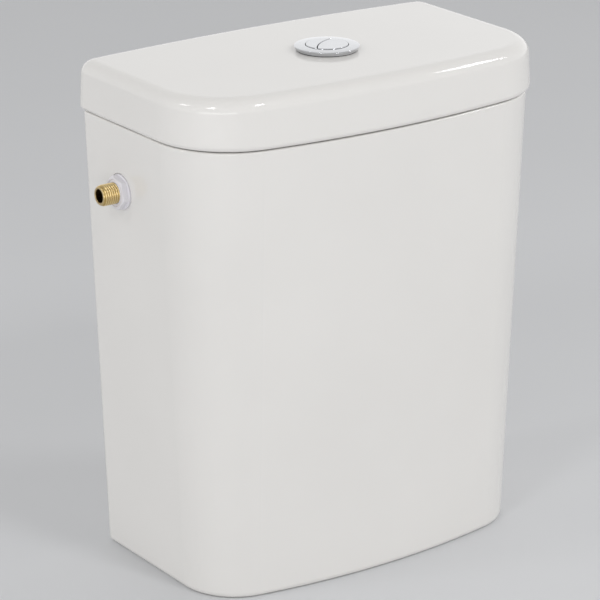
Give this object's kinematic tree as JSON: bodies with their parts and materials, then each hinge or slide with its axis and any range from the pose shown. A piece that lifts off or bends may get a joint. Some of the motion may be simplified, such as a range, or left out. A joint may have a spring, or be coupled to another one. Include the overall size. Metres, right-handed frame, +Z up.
{
  "type": "toilet cistern",
  "caption": "Close-coupled china toilet cistern with a lift-off lid, chrome dual-flush push button, flush valve, and float fill valve with a brass side inlet.",
  "frame": {"origin": "on the flush outlet's axis, level with the tank's foot", "axes": "+Z up, +Y towards the wall behind, -Y the bowed front, +X to the right of a person facing the front"},
  "size_m": [0.3545, 0.1913, 0.4131],
  "materials": {
    "glazed_china": "gloss glaze",
    "chrome_plate": "polished plate",
    "brass": "turned",
    "pale_plastic": "moulded",
    "white_plastic": "moulded",
    "grey_plastic": "moulded",
    "blue_plastic": "moulded",
    "black_rubber": "matt",
    "seal_rubber": "matt silicone",
    "clear_rubber": "soft",
    "spring_steel": "drawn"
  },
  "bodies": {
    "tank": {"tank": "glazed_china", "lid_buffers": "clear_rubber", "outlet_body": "white_plastic", "outlet_washer": "black_rubber", "outlet_backnut": "white_plastic", "coupling_gasket": "black_rubber", "valve_basket": "white_plastic", "tower_frame": "white_plastic", "top_bridge": "blue_plastic", "lever_pin": "spring_steel", "inlet_tail": "brass", "inlet_locknut": "pale_plastic", "inlet_washer": "black_rubber", "inlet_filter": "grey_plastic", "fill_valve_body": "white_plastic", "fill_diaphragm": "seal_rubber", "fill_valve_cap": "blue_plastic", "fill_lever_pin": "spring_steel", "discharge_tube": "white_plastic"},
    "lid": {"lid": "glazed_china", "button_bezel": "chrome_plate", "bezel_gasket": "black_rubber", "bezel_nut": "white_plastic", "button_cradle": "white_plastic", "full_button_spring": "spring_steel", "half_button_spring": "spring_steel"},
    "full_button": {"full_flush_button": "chrome_plate", "full_push_rod": "white_plastic"},
    "half_button": {"half_flush_button": "chrome_plate", "half_push_rod": "white_plastic"},
    "full_lever": {"full_flush_lever": "grey_plastic"},
    "half_lever": {"half_flush_lever": "grey_plastic"},
    "seal_lift": {"overflow_tube": "white_plastic", "seal_plate": "blue_plastic", "seal_washer": "seal_rubber", "lift_rod": "white_plastic", "lift_hook": "grey_plastic"},
    "half_lift": {"half_flush_rod": "white_plastic", "half_flush_float": "white_plastic"},
    "fill_lever": {"fill_lever": "grey_plastic"},
    "fill_float": {"fill_float": "white_plastic", "float_rod": "white_plastic", "float_clips": "grey_plastic"}
  },
  "joints": [
    {"name": "lid_lift", "type": "slide", "parent": "tank", "child": "lid", "axis": [0, 0, 1], "range_m": [0, 0.12]},
    {"name": "full_flush_press", "type": "slide", "parent": "lid", "child": "full_button", "axis": [0, 0, -1], "range_m": [0, 0.0045], "stiffness_N_per_m": 300, "springref_m": -0.004, "deforming": ["full_button_spring"]},
    {"name": "half_flush_press", "type": "slide", "parent": "lid", "child": "half_button", "axis": [0, 0, -1], "range_m": [0, 0.0045], "stiffness_N_per_m": 300, "springref_m": -0.004, "deforming": ["half_button_spring"]},
    {"name": "full_lever_tilt", "type": "hinge", "parent": "tank", "child": "full_lever", "pos_m": [0, 0, 0.335], "axis": [0.8241, 0.5664, 0], "range_deg": [0, 26.18]},
    {"name": "half_lever_tilt", "type": "hinge", "parent": "tank", "child": "half_lever", "pos_m": [0, 0, 0.335], "axis": [-0.8241, -0.5664, 0], "range_deg": [0, 26.18]},
    {"name": "seal_rise", "type": "slide", "parent": "tank", "child": "seal_lift", "axis": [0, 0, 1], "range_m": [0, 0.009]},
    {"name": "half_rod_rise", "type": "slide", "parent": "tank", "child": "half_lift", "axis": [0, 0, 1], "range_m": [0, 0.009]},
    {"name": "fill_float_rise", "type": "slide", "parent": "tank", "child": "fill_float", "axis": [0, 0, 1], "range_m": [0, 0.02]},
    {"name": "fill_lever_tilt", "type": "hinge", "parent": "tank", "child": "fill_lever", "pos_m": [-0.1186, 0.04, 0.3465], "axis": [0, -1, 0], "range_deg": [0, 30.52]}
  ],
  "couplings": [
    {"joint": "full_lever_tilt", "follows": "full_flush_press", "rad_per_m": 101.53},
    {"joint": "seal_rise", "follows": "full_flush_press", "ratio": 2},
    {"joint": "half_lever_tilt", "follows": "half_flush_press", "rad_per_m": 101.53},
    {"joint": "half_rod_rise", "follows": "half_flush_press", "ratio": 2},
    {"joint": "fill_lever_tilt", "follows": "fill_float_rise", "rad_per_m": 26.627}
  ]
}
